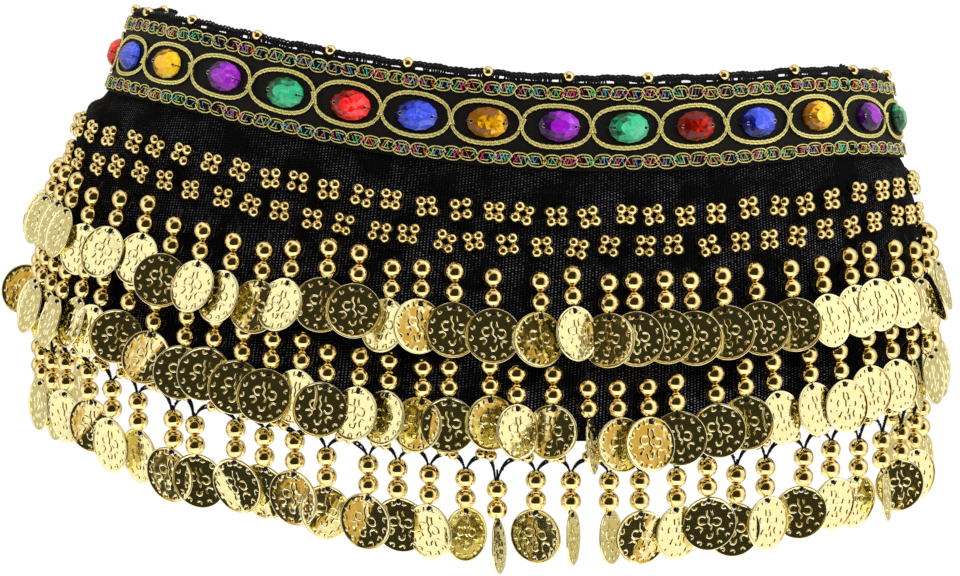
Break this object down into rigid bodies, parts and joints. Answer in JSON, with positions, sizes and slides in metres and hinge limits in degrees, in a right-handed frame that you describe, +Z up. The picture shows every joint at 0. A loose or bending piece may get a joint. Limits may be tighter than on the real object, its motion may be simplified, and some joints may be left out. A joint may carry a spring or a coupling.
{
  "type": "belly dance hip scarf",
  "caption": "Worn hip scarf: knit panel with a jewelled ribbon band, rows of beaded strands ending in thin coins, a crochet hem and plain back ties.",
  "frame": {"origin": "centre of the hips, level with the middle of the ribbon band at the centre front and back", "axes": "+Z up, -Y to the wearer's front, +X to the viewer's right when facing the front"},
  "size_m": [0.4554, 0.2699, 0.2403],
  "materials": {
    "black_knit": "fine black knit gauze with metallic specks",
    "black_satin": "black satin ribbon",
    "metallic_thread": "many-coloured metallic embroidery with gold outlines",
    "gold_metal": "bright gold plate",
    "gold_cord": "twisted gold cord",
    "stone_red": "faceted clear red resin",
    "stone_blue": "faceted clear blue resin",
    "stone_amber": "faceted clear amber resin",
    "stone_purple": "faceted clear purple resin",
    "stone_green": "faceted clear green resin"
  },
  "bodies": {
    "root": {"cloth_panel": "black_knit", "ribbon_band": "black_satin", "braid_upper": "metallic_thread", "braid_lower": "metallic_thread", "oval_cord_chain": "gold_cord", "edging_cord": "black_knit", "coin_row_upper": "gold_metal", "coin_row_middle": "gold_metal", "coin_row_hem": "gold_metal", "tie_left": "black_knit", "tie_right": "black_knit", "tie_knot": "black_knit", "tie_tail_left": "black_knit", "tie_tail_right": "black_knit", "stone_01": "stone_green", "stone_02": "stone_red", "stone_03": "stone_blue", "stone_04": "stone_amber", "stone_05": "stone_purple", "stone_06": "stone_green", "stone_07": "stone_red", "stone_08": "stone_blue", "stone_09": "stone_amber", "stone_10": "stone_purple", "stone_11": "stone_green", "stone_12": "stone_red", "stone_13": "stone_blue", "stone_14": "stone_amber", "stone_15": "stone_purple", "stone_16": "stone_green", "stone_17": "stone_red"}
  },
  "joints": []
}
